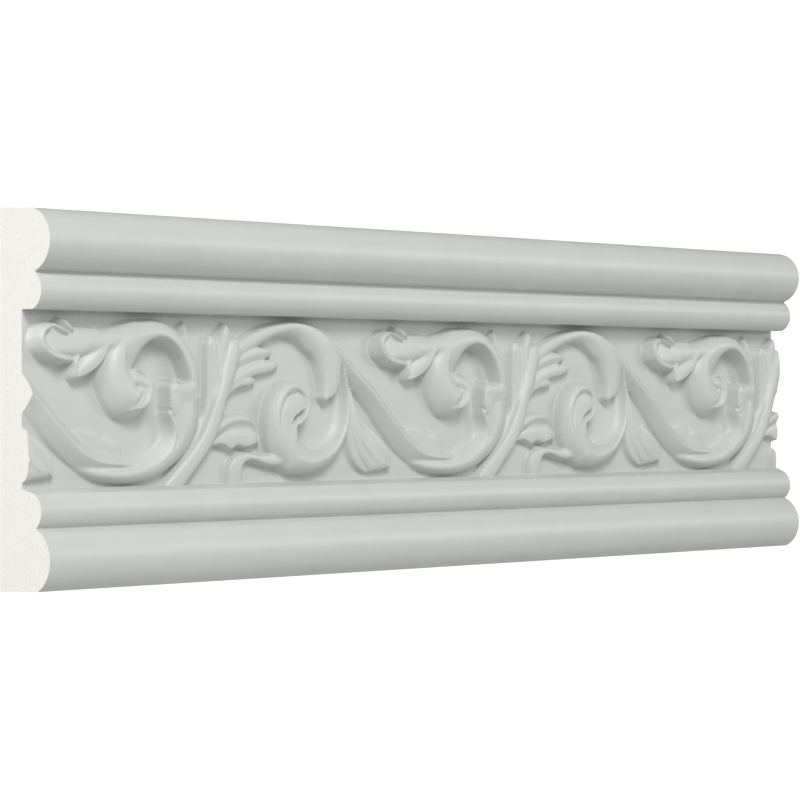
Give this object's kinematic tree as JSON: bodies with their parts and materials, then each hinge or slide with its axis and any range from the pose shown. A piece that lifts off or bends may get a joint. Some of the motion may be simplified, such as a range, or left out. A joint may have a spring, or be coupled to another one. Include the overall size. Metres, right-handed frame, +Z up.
{
  "type": "chair rail moulding",
  "caption": "Straight length of chair rail moulding: round beads above and below a flat band carved with a running scroll of acanthus leaves",
  "frame": {"origin": "the middle of the back face, half way along the length and half way up the height", "axes": "+X runs along the moulding, +Z is up and +Y points into the wall, so the carved front faces -Y"},
  "size_m": [0.4108, 0.0273, 0.13],
  "materials": {
    "primed_paint": "matte grey primer paint"
  },
  "bodies": {
    "root": {"chair_rail_moulding": "primed_paint"}
  },
  "joints": []
}
